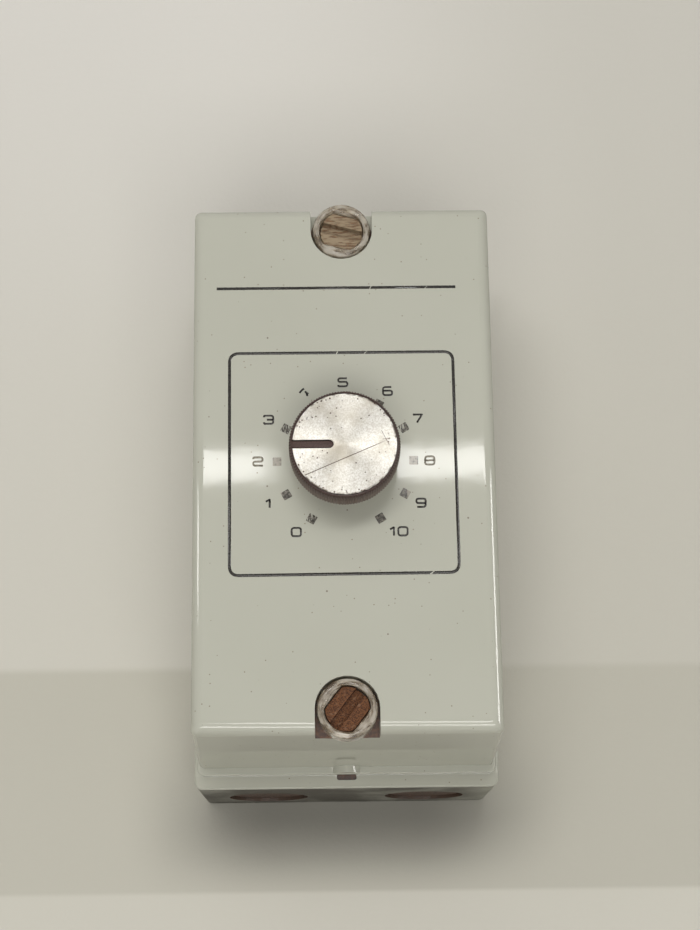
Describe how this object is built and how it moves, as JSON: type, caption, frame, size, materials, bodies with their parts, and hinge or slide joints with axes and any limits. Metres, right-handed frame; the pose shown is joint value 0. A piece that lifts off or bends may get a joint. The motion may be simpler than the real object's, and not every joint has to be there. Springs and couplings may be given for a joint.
{
  "type": "electronic speed regulator",
  "caption": "Wall-mounted dial regulator: two-part moulded housing with blanked cable entries, ribbed knob with spun disc, capped cover screws and the electronics inside.",
  "frame": {"origin": "centre of the flat back face, with the regulator lying on its back", "axes": "+Z out of the front face towards the user, +Y up the wall once mounted, +X to the user's right"},
  "size_m": [0.085, 0.163, 0.1049],
  "materials": {
    "grey_lacquer": "gloss, light warm grey lacquer over moulded phenolic, with fine specks and rubbed edges",
    "brown_phenolic": "bare brown moulded phenolic, dull and dusty",
    "black_phenolic": "black moulded package",
    "clear_plastic": "clear moulded plastic, yellowed and scratched",
    "spun_aluminium": "spun, with circular grain and small pits",
    "sheet_aluminium": "mill finish sheet",
    "zinc_steel": "zinc plated",
    "brass": "plain turned brass",
    "copper": "enamelled copper wire",
    "black_rubber": "moulded rubber",
    "board_laminate": "brown paper laminate",
    "white_plastic": "off-white moulded plastic",
    "yellow_film": "dipped film capacitor",
    "ferrite": "sintered ferrite",
    "glass": "clear glass tube",
    "grey_insulation": "flat three-core lead"
  },
  "bodies": {
    "housing": {"base_box": "grey_lacquer", "front_cover": "grey_lacquer", "cover_gasket": "black_rubber", "entry_plug_left": "brown_phenolic", "entry_plug_right": "brown_phenolic", "thread_insert_top": "brass", "thread_insert_bottom": "brass", "pot_case": "zinc_steel", "pot_track": "board_laminate", "pot_bush": "brass", "pot_washer": "zinc_steel", "pot_nut": "brass", "pot_lug_1": "brass", "pot_lug_2": "brass", "pot_lug_3": "brass", "pot_ribbon": "grey_insulation", "heat_sink_channel": "sheet_aluminium", "dial_bracket": "zinc_steel", "bracket_screw_left": "zinc_steel", "bracket_screw_right": "zinc_steel", "channel_screw_1": "zinc_steel", "channel_screw_2": "zinc_steel", "channel_screw_3": "zinc_steel", "channel_screw_4": "zinc_steel", "earth_screw": "brass", "circuit_board": "board_laminate", "board_spacer_1": "white_plastic", "board_spacer_2": "white_plastic", "board_spacer_3": "white_plastic", "board_spacer_4": "white_plastic", "board_screw_1": "zinc_steel", "board_screw_2": "zinc_steel", "board_screw_3": "zinc_steel", "board_screw_4": "zinc_steel", "choke_core": "ferrite", "choke_winding": "copper", "filter_capacitor": "yellow_film", "timing_capacitor": "yellow_film", "resistor_1": "white_plastic", "resistor_2": "white_plastic", "trigger_diode": "black_phenolic", "triac": "black_phenolic", "triac_screw": "zinc_steel", "fuse": "glass", "fuse_clip_1": "brass", "fuse_clip_2": "brass", "terminal_block": "white_plastic", "terminal_screw_1": "zinc_steel", "terminal_screw_2": "zinc_steel", "terminal_screw_3": "zinc_steel", "terminal_screw_4": "zinc_steel"},
    "knob": {"knob_body": "brown_phenolic", "knob_disc": "spun_aluminium", "pot_shaft": "brass", "pot_wiper": "brass"},
    "screw_top": {"cover_screw_top": "brown_phenolic", "screw_cap_top": "clear_plastic"},
    "screw_bottom": {"cover_screw_bottom": "brown_phenolic", "screw_cap_bottom": "clear_plastic"}
  },
  "joints": [
    {"name": "knob_turn", "type": "hinge", "parent": "housing", "child": "knob", "pos_m": [0, 0, 0.088], "axis": [0, 0, 1], "range_deg": [-240, 60]},
    {"name": "screw_top_turn", "type": "hinge", "parent": "housing", "child": "screw_top", "pos_m": [0, 0.066, 0.088], "axis": [0, 0, 1], "range_deg": [0, 90]},
    {"name": "screw_bottom_turn", "type": "hinge", "parent": "housing", "child": "screw_bottom", "pos_m": [0, -0.066, 0.088], "axis": [0, 0, 1], "range_deg": [0, 90]}
  ]
}
